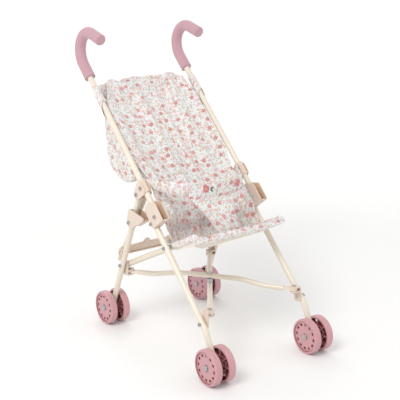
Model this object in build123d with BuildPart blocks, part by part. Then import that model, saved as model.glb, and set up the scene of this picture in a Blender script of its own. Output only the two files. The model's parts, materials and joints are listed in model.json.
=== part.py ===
"""Doll stroller: an umbrella-folding frame of painted tube with twin wheels and a slung fabric seat.

Millimetres, +Z up, +X to the right, front towards -Y. Places are worked out from the middle of the wheelbase,
and every piece is then moved forwards by middle_y, so the origin is on the floor under the middle of the box.
A place in a side frame is given as (y, z) in the plane of its legs, and as d, the distance inboard of it.
"""
import os
from math import asin, atan2, cos, degrees, hypot, radians, sin, tan

from build123d import *

# ---- driving dimensions ----
leg_x = 105.5            # middle plane of each side frame
wheel_r = 31.0
wheel_width = 12.9
wheel_gap = 13.8         # between the two discs of a pair
front_hub_y = -161.0
rear_hub_y = 161.0
tube_r = 5.25
tube_wall = 1.0
rail_r = 5.5             # seat rail
rail_d = 14.0
brace_r = 4.6            # crossed braces and the short brace beside the rear leg
brace_d = 14.3
grip_r = 10.0

hinge = (0.0, 243.5)     # handle tube turns on the hinge bracket here
lean = 44.0              # handle tube above the horizontal
handle_straight = 331.0
hook_r = 34.0
hook_turn = 151.0
hook_nose = 30.0
grip_start = 300.0       # along the handle tube from the hinge
leg_bend = (-136.0, 81.0)
leg_slope = 45.0
leg_top_run = 221.0      # bend to the top of the front leg
rail_front = (-23.5, 193.5)   # seat rail bolt on the front leg
rail_nose = 72.0         # rail beyond that bolt
rail_tail = 7.0
collar_along = 58.7      # rear leg pivot: along the handle tube, and behind it
collar_back = 19.9
rear_bolt_drop = 147.7   # seat rail bolt on the rear leg, below the rear leg's pivot
front_brace_bolt = (-126.0, 91.0)
pin_inset = 15.5         # brace pins inboard of the legs
rear_pin_drop = 15.0     # brace plane below the rear bolt
brace_rise = 8.0         # each brace bows this far off the brace plane

plate = 2.0              # walls of the plastic brackets
fit = 0.35               # bracket wall to tube
gap = 0.3                # between pieces that pass each other
bolt_r = 3.0
pin_r = 2.0
running = 0.08           # pivot hole over its bolt
head_r = 3.4
head_h = 2.2

spreader_back = 9.6      # spreader behind the rear leg's axis
spreader_drop = 136.0    # below the rear leg's pivot along the leg
spreader_t = 3.2
spreader_tall = 19.0
spreader_lap = 9.0

fabric_gap = 0.05        # slung fabric to the tubes that carry it
fabric_t = 7.0
eye_t = 4.4              # flattened ends of the crossed braces
jaw_t = 2.6              # clevis jaws above and below each eye
jaw_gap = eye_t + 2 * gap

# ---- worked out from the driving values ----
along = (cos(radians(lean)), sin(radians(lean)))
ahead = (-along[1], along[0])
wall_in = tube_r + fit
wall_out = wall_in + plate


def step(start, direction, run):
    return (start[0] + direction[0] * run, start[1] + direction[1] * run)


def on_handle(run, off=0.0):
    return step(step(hinge, along, run), ahead, off)


rear_pivot = on_handle(collar_along, -collar_back)
rear_hub = (rear_hub_y, wheel_r)
front_hub = (front_hub_y, wheel_r)
rear_run = hypot(rear_hub[0] - rear_pivot[0], rear_hub[1] - rear_pivot[1])
rear_dir = ((rear_hub[0] - rear_pivot[0]) / rear_run, (rear_hub[1] - rear_pivot[1]) / rear_run)
rear_off = (-rear_dir[1], rear_dir[0])          # square to the rear leg, towards the back
leg_dir = (cos(radians(leg_slope)), sin(radians(leg_slope)))
rail_rear = step(rear_pivot, rear_dir, rear_bolt_drop / -rear_dir[1])
rail_run = hypot(rail_front[0] - rail_rear[0], rail_front[1] - rail_rear[1])
rail_dir = ((rail_front[0] - rail_rear[0]) / rail_run, (rail_front[1] - rail_rear[1]) / rail_run)
brace_z = rail_rear[1] - rear_pin_drop
front_pin = (front_brace_bolt[0], brace_z)
rear_pin = (rail_rear[0], brace_z)
latch_bolt = step(rear_pivot, rear_dir, 61.0)
leg_top = step(leg_bend, leg_dir, leg_top_run)
leg_fix = step(leg_bend, leg_dir, 208.0)
spreader_at = step(rear_pivot, rear_dir, spreader_drop)
hook_centre = on_handle(handle_straight, hook_r)
middle_y = (front_hub_y - wheel_r + hook_centre[0] + hook_r + grip_r) / 2
back_x = leg_x - tube_r - fabric_gap            # half widths of the slung fabric
seat_x = leg_x - rail_d - rail_r - fabric_gap

SIDES = {"left": -1, "right": 1}
os.makedirs("parts", exist_ok=True)


def place(side, d, point):
    """Corner of a side frame: d inboard of the leg plane."""
    return Vector(side * (leg_x - d), point[0], point[1])


def side_plane(side, d):
    """Sketch plane parallel to the side frame, with its local axes along +Y and +Z and its normal inboard."""
    return Plane(origin=(side * (leg_x - d), 0, 0), x_dir=(0, 1, 0), z_dir=(1, 0, 0))


def inboard(side, thickness):
    return -side * thickness


def save(builder, name):
    piece = builder.part.moved(Location((0, -middle_y, 0)))
    piece.label = name
    export_step(piece, f"parts/{name}.step")


def cylinder_along(start, end, radius, mode=Mode.ADD):
    """Round bar between two points, in the open BuildPart."""
    axis = end - start
    with BuildSketch(Plane(origin=start, z_dir=axis)) as disc:
        Circle(radius)
    extrude(disc.sketch, amount=axis.length, mode=mode)


def bolt_hole(side, point, radius, d0=-30.0, d1=30.0):
    cylinder_along(place(side, d0, point), place(side, d1, point), radius, Mode.SUBTRACT)


def tube_path(side, d, points, radii):
    corners = [place(side, d, p) for p in points]
    if radii:
        return FilletPolyline(*corners, radius=radii[0])
    return Polyline(*corners)


def socket_bolt(side, point, d_head, d_end, radius=bolt_r):
    """Bolt with a round socket head outboard, in the open BuildPart."""
    cylinder_along(place(side, d_head, point), place(side, d_end, point), radius)
    cylinder_along(place(side, d_head - head_h, point), place(side, d_head, point), head_r)
    cylinder_along(place(side, d_head - head_h, point), place(side, d_head - head_h + 1.4, point), 1.6, Mode.SUBTRACT)


def hook_points():
    reach = hook_r * tan(radians(hook_turn / 4))
    start = on_handle(handle_straight)
    turn_a = radians(lean + hook_turn / 2)
    turn_b = radians(lean + hook_turn)
    corner_a = step(start, along, reach)
    corner_b = step(corner_a, (cos(turn_a), sin(turn_a)), 2 * reach + 0.4)
    nose = (cos(turn_b), sin(turn_b))
    return corner_a, corner_b, step(corner_b, nose, reach + hook_nose), nose


for word, side in SIDES.items():
    # ---- front leg: straight from the hinge bracket to a bend, then steeper down to the axle ----
    shin = hypot(front_hub[0] - leg_bend[0], front_hub[1] - leg_bend[1])
    foot = step(front_hub, ((front_hub[0] - leg_bend[0]) / shin, (front_hub[1] - leg_bend[1]) / shin), 7.0)
    with BuildPart() as front_leg:
        with BuildLine() as line:
            tube_path(side, 0, [leg_top, leg_bend, foot], [28.0])
        with BuildSketch(Plane(origin=line.line @ 0, z_dir=line.line % 0)):
            Circle(tube_r)
            Circle(tube_r - tube_wall, mode=Mode.SUBTRACT)
        sweep()
        for point in (leg_fix, rail_front, front_brace_bolt, front_hub):
            bolt_hole(side, point, bolt_r + 0.02)
    save(front_leg, f"front_leg_{word}")

    # ---- handle tube with its cane-shaped top ----
    corner_a, corner_b, nose_end, nose = hook_points()
    with BuildPart() as handle_tube:
        with BuildLine() as line:
            tube_path(side, 0, [on_handle(-8.0), corner_a, corner_b, nose_end], [hook_r])
        with BuildSketch(Plane(origin=line.line @ 0, z_dir=line.line % 0)):
            Circle(tube_r)
            Circle(tube_r - tube_wall, mode=Mode.SUBTRACT)
        sweep()
        bolt_hole(side, hinge, bolt_r + running)
        bolt_hole(side, on_handle(collar_along), bolt_r + 0.02)
    save(handle_tube, f"handle_tube_{word}")

    # ---- foam grip over the cane top, with a closed nose ----
    with BuildPart() as grip:
        with BuildLine() as line:
            tube_path(side, 0, [on_handle(grip_start), corner_a, corner_b, step(nose_end, nose, 0.3)], [hook_r])
        with BuildSketch(Plane(origin=line.line @ 0, z_dir=line.line % 0)):
            Circle(grip_r)
            Circle(tube_r + 0.1, mode=Mode.SUBTRACT)
        sweep()
        end_at = place(side, 0, step(nose_end, nose, 0.3))
        with BuildSketch(Plane(origin=end_at, z_dir=line.line % 1)):
            Circle(grip_r)
        extrude(amount=3.2)
        rim = grip.edges().filter_by(GeomType.CIRCLE).sort_by(SortBy.RADIUS)
        outer = [e for e in rim if abs(e.radius - grip_r) < 0.01]
        tips = sorted(outer, key=lambda e: (e.center() - (end_at + (line.line % 1) * 3.2)).length)
        fillet(tips[0], radius=2.4)
    save(grip, f"hand_grip_{word}")

    # ---- rear leg ----
    with BuildPart() as rear_leg:
        top = place(side, 0, step(rear_pivot, rear_dir, -6.0))
        bottom = place(side, 0, step(rear_hub, rear_dir, 7.0))
        with BuildSketch(Plane(origin=top, z_dir=bottom - top)):
            Circle(tube_r)
            Circle(tube_r - tube_wall, mode=Mode.SUBTRACT)
        extrude(amount=(bottom - top).length)
        bolt_hole(side, rear_pivot, bolt_r + running)
        for point in (latch_bolt, rail_rear, rear_hub):
            bolt_hole(side, point, bolt_r + 0.02)
    save(rear_leg, f"rear_leg_{word}")

    # ---- short brace beside the rear leg, leaning 10 degrees further back ----
    lean_back = atan2(rear_dir[1], rear_dir[0]) + radians(10.0)
    brace_way = (cos(lean_back), sin(lean_back))
    brace_top = step(rear_pivot, brace_way, -6.0)
    brace_low = step(rear_pivot, brace_way, 178.0)
    with BuildPart() as side_brace:
        top = place(side, brace_d, brace_top)
        bottom = place(side, brace_d, brace_low)
        with BuildSketch(Plane(origin=top, z_dir=bottom - top)):
            Circle(brace_r)
            Circle(brace_r - tube_wall, mode=Mode.SUBTRACT)
        extrude(amount=(bottom - top).length)
        bolt_hole(side, rear_pivot, bolt_r + running)
    save(side_brace, f"side_brace_{word}")

    # ---- seat rail ----
    with BuildPart() as seat_rail:
        tail = place(side, rail_d, step(rail_rear, rail_dir, -rail_tail))
        tip = place(side, rail_d, step(rail_front, rail_dir, rail_nose))
        cylinder_along(tail, tip, rail_r)
        fillet(seat_rail.edges().filter_by(GeomType.CIRCLE), radius=2.0)
        bolt_hole(side, rail_front, bolt_r + running)
    save(seat_rail, f"seat_rail_{word}")

    # ---- hinge bracket: two walls round the front leg's top and the handle's foot, closed below ----
    outline = [(22.0, 264.0), (32.0, 250.0), (5.5, 221.5), (-24.0, 243.5), (0.0, 268.0)]
    low, front_low = outline[2], outline[3]
    run = hypot(front_low[0] - low[0], front_low[1] - low[1])
    floor_dir = ((front_low[0] - low[0]) / run, (front_low[1] - low[1]) / run)
    floor_up = (floor_dir[1], -floor_dir[0])
    with BuildPart() as hinge_bracket:
        for d in (-wall_out, wall_in):
            with BuildSketch(side_plane(side, d)):
                with BuildLine():
                    Polyline(*outline, close=True)
                make_face()
            extrude(amount=inboard(side, plate))
        walls = hinge_bracket.edges().filter_by(Axis.X)
        fillet(walls, radius=3.0)
        floor_end = step(front_low, floor_dir, -2.5)
        floor = [step(low, floor_dir, 8.5), floor_end]
        floor += [step(floor_end, floor_up, 2.2), step(floor[0], floor_up, 2.2)]
        with BuildSketch(side_plane(side, -wall_in)):
            with BuildLine():
                Polyline(*[step(p, (floor_dir[0], floor_dir[1]), -0.6) for p in floor], close=True)
            make_face()
        extrude(amount=inboard(side, 2 * wall_in))
        web = [on_handle(-12.5, -12.6), on_handle(14.0, -12.6), on_handle(14.0, -10.4), on_handle(-12.5, -10.4)]
        with BuildSketch(side_plane(side, -wall_in)):
            with BuildLine():
                Polyline(*web, close=True)
            make_face()
        extrude(amount=inboard(side, 2 * wall_in))
        cylinder_along(place(side, 0, step(leg_top, leg_dir, -60)), place(side, 0, step(leg_top, leg_dir, 2)),
                       tube_r + 0.05, Mode.SUBTRACT)
        bolt_hole(side, hinge, bolt_r + 0.02)
        bolt_hole(side, leg_fix, bolt_r + 0.02)
    save(hinge_bracket, f"hinge_bracket_{word}")

    # ---- collar on the handle tube, with two ears that hold the rear leg ----
    with BuildPart() as leg_collar:
        for d in (-wall_out, wall_in):
            with BuildSketch(side_plane(side, d)):
                with Locations(rear_pivot):
                    Circle(9.0)
                with Locations(on_handle(collar_along + 7.0, 0)):
                    Circle(tube_r + plate)
                with Locations(on_handle(collar_along - 6.0, 0)):
                    Circle(tube_r + plate)
                make_hull()
            extrude(amount=inboard(side, plate))
        cylinder_along(place(side, 0, on_handle(collar_along - 11.5)), place(side, 0, on_handle(collar_along + 14.0)),
                       wall_out)
        cylinder_along(place(side, 0, on_handle(collar_along - 12.0)), place(side, 0, on_handle(collar_along + 15.0)),
                       tube_r + 0.05, Mode.SUBTRACT)
        cylinder_along(place(side, 0, step(rear_pivot, rear_dir, -10.5)), place(side, 0, step(rear_pivot, rear_dir, 30)),
                       wall_in - 0.02, Mode.SUBTRACT)
        bolt_hole(side, rear_pivot, bolt_r + 0.02)
        bolt_hole(side, on_handle(collar_along), bolt_r + 0.02)
    save(leg_collar, f"leg_collar_{word}")

    # ---- fold latch: a scoop on the rear leg that reaches for the hinge bracket ----
    latch_in = wall_out + gap
    latch_out = latch_in + 1.5
    scoop = [(80.0, 240.0), (88.0, 213.0), (81.0, 205.5), (71.0, 207.0), (36.0, 226.5), (31.5, 233.0)]
    with BuildPart() as latch:
        for d in (-latch_out, latch_in):
            with BuildSketch(side_plane(side, d)):
                with BuildLine():
                    Polyline(*scoop, close=True)
                make_face()
            extrude(amount=inboard(side, 1.5))
        fillet(latch.edges().filter_by(Axis.X), radius=2.0)
        for a, b in (((65.5, 210.2), (37.0, 226.0)), ((79.8, 238.0), (82.3, 229.0))):
            run = hypot(b[0] - a[0], b[1] - a[1])
            up = (-(b[1] - a[1]) / run * 1.6, (b[0] - a[0]) / run * 1.6)
            up = (-up[0], -up[1]) if up[1] < 0 else up
            if a[0] > 75:
                up = (-abs(up[0]), up[1])
            with BuildSketch(side_plane(side, -latch_in - 0.1)):
                with BuildLine():
                    Polyline(a, b, (b[0] + up[0], b[1] + up[1]), (a[0] + up[0], a[1] + up[1]), close=True)
                make_face()
            extrude(amount=inboard(side, 2 * latch_in + 0.2))
        bolt_hole(side, latch_bolt, bolt_r + running)
    save(latch, f"fold_latch_{word}")

    # ---- clevises that carry the crossed braces ----
    for name, bolt, pin in (("front", front_brace_bolt, front_pin), ("rear", rail_rear, rear_pin)):
        low_z = min(bolt[1] - 8.0, pin[1] - jaw_gap / 2 - jaw_t)
        high_z = max(bolt[1] + 8.0, pin[1] + jaw_gap / 2 + jaw_t)
        with BuildPart() as clevis:
            with BuildSketch(side_plane(side, wall_in)):
                with Locations((bolt[0], (low_z + high_z) / 2)):
                    RectangleRounded(15.0, high_z - low_z, 4.0)
            extrude(amount=inboard(side, plate))
            for z in (pin[1] - jaw_gap / 2 - jaw_t, pin[1] + jaw_gap / 2):
                with BuildSketch(Plane.XY.offset(z)):
                    with Locations((side * (leg_x - pin_inset), pin[0])):
                        Circle(7.5)
                    with Locations((side * (leg_x - (wall_in + plate + pin_inset) / 2), pin[0])):
                        Rectangle(pin_inset - wall_in - plate + 0.4, 15.0)
                extrude(amount=jaw_t)
            with BuildSketch(Plane.XY.offset(pin[1] - 20)):
                with Locations((side * (leg_x - pin_inset), pin[0])):
                    Circle(pin_r + 0.02)
            extrude(amount=40, mode=Mode.SUBTRACT)
            bolt_hole(side, bolt, bolt_r + running, wall_in - 1, wall_out + 0.2)
        save(clevis, f"{name}_clevis_{word}")
        top_z = pin[1] + jaw_gap / 2 + jaw_t
        base_z = pin[1] - jaw_gap / 2 - jaw_t
        with BuildPart() as pin_part:
            with BuildSketch(Plane.XY.offset(base_z)):
                with Locations((side * (leg_x - pin_inset), pin[0])):
                    Circle(pin_r)
            extrude(amount=top_z - base_z)
            with BuildSketch(Plane.XY.offset(top_z)):
                with Locations((side * (leg_x - pin_inset), pin[0])):
                    Circle(3.6)
            extrude(amount=1.8)
            fillet(pin_part.edges().sort_by(Axis.Z)[-1], radius=1.2)
            with BuildSketch(Plane.XY.offset(base_z - 2.4)):
                with Locations((side * (leg_x - pin_inset), pin[0])):
                    RegularPolygon(3.4, 6)
            extrude(amount=2.4)
        save(pin_part, f"{name}_clevis_pin_{word}")

    # ---- spreader half: a shallow channel bar hinged behind the rear leg ----
    layer = 0 if side < 0 else 1
    near = spreader_back + layer * (spreader_t + gap)
    bar_plane = Plane(origin=(0, spreader_at[0] + rear_off[0] * near, spreader_at[1] + rear_off[1] * near),
                      x_dir=(-side, 0, 0), z_dir=(0, rear_off[0], rear_off[1]))
    with BuildPart() as spreader:
        with BuildSketch(bar_plane):
            with Locations(((spreader_lap - leg_x - 7.0) / 2, 0)):
                RectangleRounded(leg_x + 7.0 + spreader_lap, spreader_tall, 6.0)
        extrude(amount=spreader_t)
        with BuildSketch(bar_plane.offset(spreader_t if side > 0 else 0)):
            with Locations(((-leg_x) / 2, 0)):
                RectangleRounded(leg_x - 34.0, spreader_tall - 5.0, 4.0)
        extrude(amount=-1.5 if side > 0 else 1.5, mode=Mode.SUBTRACT)
        with BuildSketch(bar_plane):
            with Locations((-leg_x, 0)):
                Circle(2.5 + running)
        extrude(amount=spreader_t, mode=Mode.SUBTRACT)
        if side < 0:
            up_sign = 1 if bar_plane.y_dir.Z > 0 else -1
            with BuildSketch(bar_plane):
                with Locations((-55.0, up_sign * (spreader_tall / 2 + 1.5))):
                    Circle(6.5)
            extrude(amount=spreader_t)
    save(spreader, f"spreader_{word}")

    # ---- spreader boss and stud on the rear leg ----
    stud_from = place(side, 0, step(spreader_at, rear_off, tube_r - 0.6))
    stud_dir = Vector(0, rear_off[0], rear_off[1])
    seat_at = near - gap
    with BuildPart() as boss:
        with BuildSketch(Plane(origin=stud_from, z_dir=stud_dir, x_dir=(1, 0, 0))):
            RectangleRounded(9.6, 15.0, 2.5)
        extrude(amount=seat_at - tube_r + 0.6)
        cylinder_along(place(side, 0, rear_pivot), place(side, 0, rear_hub), tube_r + 0.03, Mode.SUBTRACT)
        stud_top = place(side, 0, step(spreader_at, rear_off, near + spreader_t + gap))
        cylinder_along(stud_from + stud_dir * 2.0, stud_top, 2.5)
        cylinder_along(stud_top, stud_top + stud_dir * 1.8, 4.2)
    save(boss, f"spreader_boss_{word}")

    # ---- bolts ----
    with BuildPart() as hinge_bolts:
        socket_bolt(side, hinge, -wall_out, wall_out - 0.1)
        socket_bolt(side, leg_fix, -wall_out, wall_out - 0.1)
    save(hinge_bolts, f"hinge_bolts_{word}")
    with BuildPart() as collar_bolts:
        socket_bolt(side, rear_pivot, -wall_out, brace_d + brace_r + gap)
        cylinder_along(place(side, wall_out + gap, rear_pivot), place(side, brace_d - brace_r - gap, rear_pivot), 4.4)
        cylinder_along(place(side, brace_d + brace_r + gap, rear_pivot),
                       place(side, brace_d + brace_r + 2.4, rear_pivot), 4.4)
        socket_bolt(side, on_handle(collar_along), -wall_out, wall_out - 0.1)
    save(collar_bolts, f"collar_bolts_{word}")
    with BuildPart() as rear_leg_bolts:
        socket_bolt(side, latch_bolt, -latch_out, latch_out - 0.1)
        socket_bolt(side, rail_rear, -tube_r, tube_r)
    save(rear_leg_bolts, f"rear_leg_bolts_{word}")
    with BuildPart() as front_leg_bolts:
        socket_bolt(side, rail_front, -tube_r, rail_d + rail_r + 0.2)
        cylinder_along(place(side, rail_d + rail_r + 0.2, rail_front),
                       place(side, rail_d + rail_r + 2.4, rail_front), 4.0)
        cylinder_along(place(side, tube_r + 0.1, rail_front), place(side, rail_d - rail_r - 0.3, rail_front), 4.6)
        socket_bolt(side, front_brace_bolt, -tube_r, wall_out - 0.1)
    save(front_leg_bolts, f"front_leg_bolts_{word}")

    # ---- twin wheels and their axles ----
    for name, hub in (("front", front_hub), ("rear", rear_hub)):
        half = wheel_gap / 2
        with BuildPart() as axle:
            cylinder_along(place(side, -half - wheel_width - 0.3, hub), place(side, half + wheel_width + 0.3, hub),
                           bolt_r)
            for sign in (-1, 1):
                at = half + wheel_width - 1.6
                cap_in = place(side, sign * at, hub)
                cap_out = place(side, sign * (at + 2.6), hub)
                cylinder_along(cap_in, cap_out, 5.2)
            fillet(axle.edges().filter_by(GeomType.CIRCLE).sort_by(Axis.X)[0], radius=1.0)
            fillet(axle.edges().filter_by(GeomType.CIRCLE).sort_by(Axis.X)[-1], radius=1.0)
        save(axle, f"{name}_axle_{word}")
        for place_word, sign in (("outer", -1), ("inner", 1)):
            inner_face = place(side, sign * half, hub)
            out = Vector(-side * sign, 0, 0)
            face = Plane(origin=inner_face, x_dir=(0, 1, 0), z_dir=out)
            with BuildPart() as wheel:
                rim_in = wheel_r - 4.2
                with BuildSketch(face):
                    Circle(wheel_r)
                    Circle(rim_in, mode=Mode.SUBTRACT)
                extrude(amount=wheel_width)
                treads = wheel.edges().filter_by(GeomType.CIRCLE)
                fillet([e for e in treads if abs(e.radius - wheel_r) < 0.01], radius=2.6)
                with BuildSketch(face.offset(wheel_width - 3.6)):
                    Circle(rim_in + 0.3)
                extrude(amount=2.0)
                with BuildSketch(face.offset(wheel_width - 3.8)):
                    with PolarLocations(21.2, 12):
                        SlotOverall(5.8, 4.2, rotation=90)
                extrude(amount=3.0, mode=Mode.SUBTRACT)
                with BuildSketch(face.offset(-0.9)):
                    Circle(8.6)
                extrude(amount=wheel_width - 1.0)
                with BuildSketch(face.offset(2.2)):
                    with PolarLocations(17.3, 8):
                        Rectangle(19.6, 1.5)
                    Circle(7.0, mode=Mode.SUBTRACT)
                extrude(amount=wheel_width - 5.6)
                with BuildSketch(face.offset(3.4)):
                    Circle(15.2)
                    Circle(13.8, mode=Mode.SUBTRACT)
                extrude(amount=wheel_width - 6.8)
                with BuildSketch(face.offset(wheel_width - 2.0)):
                    Circle(5.4)
                extrude(amount=3.0, mode=Mode.SUBTRACT)
                with BuildSketch(face.offset(-2)):
                    Circle(bolt_r + running)
                extrude(amount=wheel_width + 4, mode=Mode.SUBTRACT)
            save(wheel, f"{name}_wheel_{place_word}_{word}")

# ---- crossed braces: bent tubes with flattened eyes, the first bowed up and the second down ----
brace_run = hypot(front_pin[0] - rear_pin[0], 2 * (leg_x - pin_inset))
brace_ends = {
    "brace_upper": (Vector(leg_x - pin_inset, front_pin[0], brace_z), 1),
    "brace_lower": (Vector(-(leg_x - pin_inset), front_pin[0], brace_z), -1),
}
for name, (start, rise) in brace_ends.items():
    end = Vector(-start.X, rear_pin[0], brace_z)
    flat = (end - start).normalized()
    lift = Vector(0, 0, rise * brace_rise)
    across = Vector(-flat.Y, flat.X, 0)
    with BuildPart() as brace:
        with BuildLine() as line:
            corners = [start + flat * 9, start + flat * 48, start + flat * 96 + lift,
                       end - flat * 96 + lift, end - flat * 48, end - flat * 9]
            FilletPolyline(*corners, radius=70)
        with BuildSketch(Plane(origin=line.line @ 0, z_dir=line.line % 0)):
            Circle(brace_r)
        sweep()
        for at in (start, end):
            sign = 1 if at is start else -1
            cut = Plane(origin=at - Vector(0, 0, 10), x_dir=flat * sign, z_dir=(0, 0, 1))
            for z0, z1 in ((-10.0, -eye_t / 2), (eye_t / 2, 10.0)):
                with BuildSketch(cut.offset(10.0 + z0)):
                    Rectangle(36.0, 20.0)
                extrude(amount=z1 - z0, mode=Mode.SUBTRACT)
            with BuildSketch(cut.offset(10.0 - eye_t / 2)):
                Circle(6.2)
                with Locations((9.0, 0)):
                    Rectangle(18.0, 2 * brace_r + 1.4)
            extrude(amount=eye_t)
            with BuildSketch(cut.offset(0)):
                Circle(pin_r + running)
            extrude(amount=20.0, mode=Mode.SUBTRACT)
        with BuildSketch(Plane(origin=(0, (front_pin[0] + rear_pin[0]) / 2, brace_z - 30))):
            Circle(2.5 + (running if rise > 0 else 0.02))
        extrude(amount=60, mode=Mode.SUBTRACT)
    save(brace, name)

cross = (0, (front_pin[0] + rear_pin[0]) / 2)
with BuildPart() as rivet:
    spans = ((2.5, -brace_rise - brace_r - 0.1, brace_rise + brace_r + 0.3),
             (5.4, -(brace_rise - brace_r) + 0.05, brace_rise - brace_r - 0.2),
             (5.0, brace_rise + brace_r + 0.3, brace_rise + brace_r + 2.4),
             (4.6, -brace_rise - brace_r - 3.4, -brace_rise - brace_r - 0.1))
    for radius, z0, z1 in spans:
        with BuildSketch(Plane.XY.offset(brace_z + z0)):
            with Locations(cross):
                Circle(radius)
        extrude(amount=z1 - z0)
    fillet(rivet.edges().filter_by(GeomType.CIRCLE).sort_by(Axis.Z)[-1], radius=1.4)
save(rivet, "brace_rivet")

pin_at = Vector(0, spreader_at[0], spreader_at[1])
stud_dir = Vector(0, rear_off[0], rear_off[1])
with BuildPart() as spreader_pin:
    cylinder_along(pin_at + stud_dir * (spreader_back - 2.2), pin_at + stud_dir * spreader_back, 5.0)
save(spreader_pin, "spreader_pin")

# ---- fabric: plain closed solids that hold its place ----
with BuildPart() as back_panel:
    sheet = [on_handle(74.5, -2.0), on_handle(296.0, -2.0), on_handle(296.0, fabric_t - 2.0),
             on_handle(74.5, fabric_t - 2.0)]
    with BuildSketch(Plane.YZ.offset(-back_x)):
        with BuildLine():
            Polyline(*sheet, close=True)
        make_face()
    extrude(amount=2 * back_x)
save(back_panel, "back_panel")

with BuildPart() as seat_panel:
    tip = step(rail_front, rail_dir, rail_nose - 2.0)
    tail = step(rail_rear, rail_dir, 52.0)
    with BuildSketch(Plane.YZ.offset(-seat_x)):
        with BuildLine():
            Polyline(tip, tail, (tail[0], tail[1] - 9.0), (tip[0], tip[1] - 14.0), close=True)
        make_face()
    extrude(amount=2 * seat_x)
    for side in SIDES.values():
        nut_clear = (place(side, rail_d + rail_r - 1.0, rail_front), place(side, rail_d + rail_r + 3.0, rail_front))
        cylinder_along(*nut_clear, 4.6, Mode.SUBTRACT)
save(seat_panel, "seat_panel")

with BuildPart() as pouch:
    bag = [on_handle(110.0, -2.4), on_handle(286.0, -2.4), (188.0, 395.0), (185.0, 340.0), (180.0, 312.0),
           (168.0, 292.0), (150.0, 282.0), (127.0, 278.0), (101.0, 281.0), (84.0, 298.0)]
    with BuildSketch(Plane.YZ.offset(-back_x + 2.0)):
        with BuildLine():
            Polyline(*bag, close=True)
        make_face()
    extrude(amount=2 * (back_x - 2.0))
save(pouch, "storage_pouch")

with BuildPart() as belt:
    with BuildSketch(Plane.XY.offset(276.0)):
        with BuildLine() as outside:
            Spline((-96.0, 49.0), (-91.0, 14.0), (-62.0, -22.0), (0, -36.0), (62.0, -22.0), (91.0, 14.0), (96.0, 49.0))
        trace(outside.edge(), line_width=2.8)
    extrude(amount=24.0)
save(belt, "waist_belt")

with BuildPart() as crotch_strap:
    with BuildSketch(Plane.YZ.offset(-24.0)):
        with BuildLine():
            Polyline((-37.6, 296.0), (-40.4, 296.0), (-40.4, 274.0), (-63.0, 213.6), (-60.0, 212.2), (-37.6, 272.0),
                     close=True)
        make_face()
    extrude(amount=48.0)
save(crotch_strap, "crotch_strap")
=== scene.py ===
"""Doll stroller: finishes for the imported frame, the slung print fabric and the studio.

Metres, +Z up, front towards -Y.
"""

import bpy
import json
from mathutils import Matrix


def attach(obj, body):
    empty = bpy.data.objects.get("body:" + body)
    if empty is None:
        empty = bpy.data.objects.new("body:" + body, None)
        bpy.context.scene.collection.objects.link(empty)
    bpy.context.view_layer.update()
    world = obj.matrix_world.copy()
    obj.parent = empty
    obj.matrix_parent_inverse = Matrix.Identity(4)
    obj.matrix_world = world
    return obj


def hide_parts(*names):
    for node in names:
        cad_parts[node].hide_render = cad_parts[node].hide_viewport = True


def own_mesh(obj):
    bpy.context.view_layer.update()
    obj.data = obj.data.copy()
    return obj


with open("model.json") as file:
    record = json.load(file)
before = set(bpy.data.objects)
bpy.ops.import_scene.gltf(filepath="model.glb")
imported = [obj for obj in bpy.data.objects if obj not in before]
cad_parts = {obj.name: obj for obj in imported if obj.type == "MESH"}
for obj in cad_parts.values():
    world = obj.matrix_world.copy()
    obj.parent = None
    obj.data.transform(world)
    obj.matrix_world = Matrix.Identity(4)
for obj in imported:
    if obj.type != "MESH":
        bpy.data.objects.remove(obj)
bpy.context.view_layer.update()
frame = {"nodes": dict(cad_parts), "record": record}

import json
from math import cos, pi, radians, sin

import bpy
import numpy as np
from bpy.props import FloatProperty, IntProperty, PointerProperty
from bpy.types import Operator, Panel, PropertyGroup
from mathutils import Matrix, Vector

bl_info = {
    "name": "Doll stroller",
    "version": (1, 0, 0),
    "blender": (4, 5, 0),
    "location": "3D View > Sidebar > Stroller",
    "description": "Builds the cloth, finishes and studio of a doll stroller on its packed frame",
    "category": "Object",
}

MM = 0.001
# Side-view places below are (y, z) in millimetres from the middle of the wheelbase, on the floor;
# the frame's own origin is this much further back.
MIDDLE = 33.2415
LEG_X = 105.5             # middle plane of one side's tubes
HINGE = (0.0, 243.5)      # pivot of the hinge bracket, on the handle tube
LEAN = radians(44.0)      # handle tube above level
RAIL_FRONT = (-23.5, 193.5)
RAIL_WAY = (-0.8969, 0.4422)
RAIL_X = 91.5
TOP_S = 296.0             # top hem, along the handle tube from its hinge
SEAM_V = 0.752            # seam between the back and the seat, as a share of the sling's rows
UV_MM = 100.0             # millimetres of cloth in one unit of UV

# Thicknesses of the sheets' cloth, in millimetres.
SLEEVE_CLOTH = 0.8
LINING_CLOTH = 1.0
TEE_CLOTH = 1.8
POUCH_CLOTH = 1.0

THREAD_WIDTH = 0.00075    # metres
HEM_SHARE = 0.022         # row of stitches inside the top hem, as a share of the sling's rows
BAND_STITCHES = (296.8, 276.5)
CLOTH_SLOT = "print_fabric"
SIDES = (("left", -1), ("right", 1))

LIP_TOP = 224.5
LIP_FRONT = -90.5         # middle of the lip, in side view
LIP_MARKS = (-93.0, -74.0, -17.0, 51.0, 77.0, 95.0)
LIP_LOW = (212.0, 211.5, 211.5, 212.5, 215.5, 219.0)   # height of the lip's lower edge at those marks

BELT = ((-95.5, 44.0), (-85.0, 16.0), (-64.0, -21.0), (0.0, -33.0), (50.0, -24.0), (72.0, 11.0), (95.5, 44.0))
BELT_Z = 288.5
BELT_DEEP, BELT_TALL = 1.9, 11.0                       # half sizes of its section
TEE_FORWARD = 4.6         # crotch piece, in front of the belt's middle plane
TEE_BAND = 0.34           # share of the crotch piece that is its band across
TEE_TOP = 299.0
TEE_BAND_TALL = 25.5
TEE_STRAP_DROP = 62.0
FLOWER_Z = 287.0
FLOSS_PINK, FLOSS_GOLD, FLOSS_GREEN = range(3)

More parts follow.
